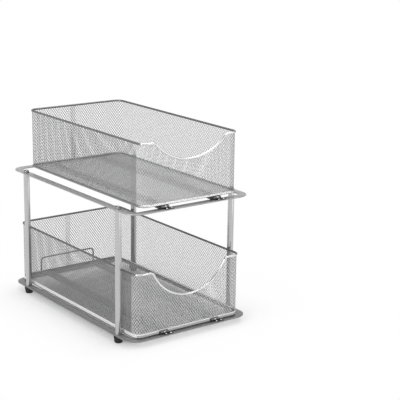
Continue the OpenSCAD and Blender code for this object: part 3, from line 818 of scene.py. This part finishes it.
seam_strand_share = 0.13
for tier in ("lower", "upper"):
    low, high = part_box(f"{tier}_wall_seam")
    columns = round((high.x - low.x) / cell_half_wide)
    rows = round((high.z - low.z) / cell_half_tall)
    half_u, half_v = (high.x - low.x) / columns, (high.z - low.z) / rows

    def seam_clip(uv, low=low, high=high):
        return np.clip(uv, (low.x, low.z), (high.x, high.z))

    uvw, faces = diamond_cells(opening_places(columns + 1, rows + 1), half_u, half_v,
                               low.x, low.z, seam_clip, wall_strand_deep, seam_strand_share)
    vertices = np.stack([uvw[:, 0], low.y + wall_strand_deep - uvw[:, 2], uvw[:, 1]], 1)
    mesh_panel(f"{tier}_lapped_seam", vertices, faces, f"{tier}_basket", [f"{tier}_wall_seam"])

# ---------------------------------------------------------------- rails
# A flat plated bar is welded under the floor above each channel. The rear glide hangs
# from it, and it shows through the mesh floor as a dark stripe. Its plating is painted
# lighter than the channels' zinc: a painted light on a bar that lies in shade.

rail_painted_light = metal_finish("rail_zinc_plate", (0.60, 0.60, 0.605),
                          metallic=0.5, roughness=0.45, **plated)
rail_edge, rail_stations = 0.0004, 12
for tier in ("lower", "upper"):
    for side in ("left", "right"):
        low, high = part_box(f"{tier}_rail_{side}")
        middle = (low + high) / 2
        section = rounded_bar(high.x - low.x, high.z - low.z, rail_edge, steps=2)
        points = [(middle.x, y, middle.z) for y in np.linspace(low.y, high.y, rail_stations)]
        normals = np.tile((1.0, 0.0, 0.0), (rail_stations, 1))
        make_piece(f"{tier}_flat_rail_{side}", *swept(points, normals, section, closed=False),
                   rail_painted_light, f"{tier}_basket", "zinc", [f"{tier}_rail_{side}"])

# ---------------------------------------------------------------- rail caps and glides
# A dark cap closes the front end of each rail, with a chrome rivet in its face, and a
# black T-shaped glide under the rail runs inside the channel.

cap_plastic = plastic_finish("cap_dark_grey_plastic", (0.14, 0.14, 0.142), roughness=0.30)
face_head, face_rise, face_shank, face_grip = 0.0021, 0.0014, 0.0007, 0.0019
for tier in ("lower", "upper"):
    softened(f"{tier}_rail_caps", cap_plastic, width=0.0004)
    for side in ("left", "right"):
        softened(f"{tier}_rear_glide_{side}", glide_plastic, width=0.0003)
    low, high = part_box(f"{tier}_cap_rivets")
    cap_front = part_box(f"{tier}_rail_caps")[0].y
    spots = []
    for side in ("left", "right"):
        rail_low, rail_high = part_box(f"{tier}_rail_{side}")
        spots.append(((rail_low.x + rail_high.x) / 2, cap_front, (low.z + high.z) / 2))
    outline = [(face_shank, -face_grip), (face_shank, 0.0)] + dome(face_head, face_rise)
    put_rivets(f"{tier}_face_rivets", spots, outline, chrome, f"{tier}_basket", "chrome",
               f"{tier}_cap_rivets", turn=Matrix.Rotation(math.radians(90), 4, "X"))

# ---------------------------------------------------------------- floor and light
# A white floor and surround, a broad lamp above, a soft one on the left and a weak
# one in front. Near the object the floor's white glow is faded out, a painted shade round
# its foot over the object's own cast shadow; farther off the floor shows white.


def seen_directly(nodes, links):
    """1 for a ray from the camera, or one that metal or glass sends on, and 0 otherwise."""
    path = nodes.new("ShaderNodeLightPath")
    metal = nodes.new("ShaderNodeMath")
    metal.operation = "MAXIMUM"
    glass = nodes.new("ShaderNodeMath")
    glass.operation = "MAXIMUM"
    links.new(path.outputs["Is Camera Ray"], metal.inputs[0])
    links.new(path.outputs["Is Glossy Ray"], metal.inputs[1])
    links.new(metal.outputs[0], glass.inputs[0])
    links.new(path.outputs["Is Transmission Ray"], glass.inputs[1])
    return glass.outputs[0]


shade_inset_x, shade_inset_y, shade_squeeze, floor_reach = 0.035, 0.055, 1.6, 6
# The floor's share of plain white at distances, in metres, past the middle part of the
# painted shade; nearer in, the missing glow paints the shade.
white_at = ((0.010, 0.12), (0.035, 0.34), (0.080, 0.72), (0.140, 0.94), (0.30, 0.995))
floor_mesh = bpy.data.meshes.new("studio_floor")
corners = [(sx * floor_reach, sy * floor_reach, 0) for sx, sy in ((-1, -1), (1, -1), (1, 1), (-1, 1))]
floor_mesh.from_pydata(corners, [], [(0, 1, 2, 3)])
floor = bpy.data.objects.new("studio_floor", floor_mesh)
bpy.context.scene.collection.objects.link(floor)
floor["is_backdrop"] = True
floor_white = bpy.data.materials.new("floor_white")
floor_white.use_nodes = True
nodes, links = floor_white.node_tree.nodes, floor_white.node_tree.links
shader = nodes["Principled BSDF"]
shader.inputs["Base Color"].default_value = (0.86, 0.86, 0.86, 1)
shader.inputs["Roughness"].default_value = 0.9
shader.inputs["Specular IOR Level"].default_value = 0.0
place = nodes.new("ShaderNodeNewGeometry")
one_side = nodes.new("ShaderNodeVectorMath")
one_side.operation = "ABSOLUTE"
narrower_at_ends = nodes.new("ShaderNodeVectorMath")
narrower_at_ends.operation = "MULTIPLY"
narrower_at_ends.inputs[1].default_value = (1, shade_squeeze, 0)
past_shade = nodes.new("ShaderNodeVectorMath")
past_shade.operation = "SUBTRACT"
past_shade.inputs[1].default_value = (
    cad_high[0] - shade_inset_x, (cad_high[1] - shade_inset_y) * shade_squeeze, 0)
outside = nodes.new("ShaderNodeVectorMath")
outside.operation = "MAXIMUM"
outside.inputs[1].default_value = (0, 0, 0)
from_shade = nodes.new("ShaderNodeVectorMath")
from_shade.operation = "LENGTH"
paler = nodes.new("ShaderNodeValToRGB")
paler.color_ramp.elements[0].color = (0, 0, 0, 1)
for at, level in white_at:
    paler.color_ramp.elements.new(at).color = (level, level, level, 1)
show = nodes.new("ShaderNodeMath")
show.operation = "MULTIPLY"
white = nodes.new("ShaderNodeEmission")
white.inputs["Strength"].default_value = 1.0
choose = nodes.new("ShaderNodeMixShader")
links.new(place.outputs["Position"], one_side.inputs[0])
links.new(one_side.outputs[0], narrower_at_ends.inputs[0])
links.new(narrower_at_ends.outputs[0], past_shade.inputs[0])
links.new(past_shade.outputs[0], outside.inputs[0])
links.new(outside.outputs[0], from_shade.inputs[0])
links.new(from_shade.outputs["Value"], paler.inputs["Fac"])
links.new(paler.outputs["Color"], show.inputs[0])
links.new(seen_directly(nodes, links), show.inputs[1])
links.new(show.outputs[0], choose.inputs[0])
links.new(shader.outputs[0], choose.inputs[1])
links.new(white.outputs[0], choose.inputs[2])
links.new(choose.outputs[0], nodes["Material Output"].inputs["Surface"])
floor_mesh.materials.append(floor_white)

world = bpy.data.worlds.new("studio")
bpy.context.scene.world = world
world.use_nodes = True
nodes, links = world.node_tree.nodes, world.node_tree.links
room_light = nodes["Background"]
room_light.inputs["Color"].default_value = (1, 1, 1, 1)
room_light.inputs["Strength"].default_value = 0.35
white_surround = nodes.new("ShaderNodeBackground")
white_surround.inputs["Color"].default_value = (1, 1, 1, 1)
place = nodes.new("ShaderNodeTexCoord")
split = nodes.new("ShaderNodeSeparateXYZ")
height = nodes.new("ShaderNodeMapRange")
height.interpolation_type = "SMOOTHSTEP"
height.inputs["From Min"].default_value = 0.10
height.inputs["From Max"].default_value = 0.60
height.inputs["To Min"].default_value = 1.0
height.inputs["To Max"].default_value = 0.28
choose = nodes.new("ShaderNodeMixShader")
links.new(place.outputs["Generated"], split.inputs[0])
links.new(split.outputs["Z"], height.inputs["Value"])
links.new(height.outputs["Result"], white_surround.inputs["Strength"])
links.new(seen_directly(nodes, links), choose.inputs[0])
links.new(room_light.outputs[0], choose.inputs[1])
links.new(white_surround.outputs[0], choose.inputs[2])
links.new(choose.outputs[0], nodes["World Output"].inputs["Surface"])


def soft_lamp(name, spot, target, size, watts):
    """A square area lamp that faces a point."""
    lamp = bpy.data.lights.new(name, "AREA")
    lamp.shape = "SQUARE"
    lamp.size = size
    lamp.energy = watts
    holder = bpy.data.objects.new(name, lamp)
    bpy.context.scene.collection.objects.link(holder)
    holder.location = spot
    holder.rotation_euler = (Vector(target) - Vector(spot)).to_track_quat("-Z", "Y").to_euler()


soft_lamp("top_lamp", (0.4, 0.1, 1.9), (0, 0, 0.1), size=1.8, watts=27)
soft_lamp("front_lamp", (0.9, -1.9, 0.5), (0, 0, 0.15), size=1.0, watts=3)
soft_lamp("left_lamp", (-1.6, -0.3, 1.2), (0, 0, 0.15), size=1.0, watts=20)

# ---------------------------------------------------------------- camera
# The camera looks down a little from the front left, along the basket's long side. Its
# lens is long, and it is rolled by less than a degree.

picture_wide, sensor_wide = 400, 36.0
focal, pitch, yaw, roll = 1174.21, 0.25727, 0.6483, -0.01532
spot = Vector((-1.21963, -1.84674, 0.79572))
ahead = Vector((math.sin(yaw) * math.cos(pitch), math.cos(yaw) * math.cos(pitch), -math.sin(pitch)))
level = Vector((math.cos(yaw), -math.sin(yaw), 0))
down = ahead.cross(level)
across = math.cos(roll) * level + math.sin(roll) * down
below = -math.sin(roll) * level + math.cos(roll) * down
camera_data = bpy.data.cameras.new("camera")
camera = bpy.data.objects.new("camera", camera_data)
bpy.context.scene.collection.objects.link(camera)
bpy.context.scene.camera = camera
camera_data.sensor_width = sensor_wide
camera_data.lens = focal / picture_wide * sensor_wide
camera_data.clip_end = 20
turn = Matrix((across, -below, -ahead)).transposed().to_4x4()
camera.matrix_world = Matrix.Translation(spot) @ turn

bpy.context.scene.view_settings.view_transform = "Standard"

low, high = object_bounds()
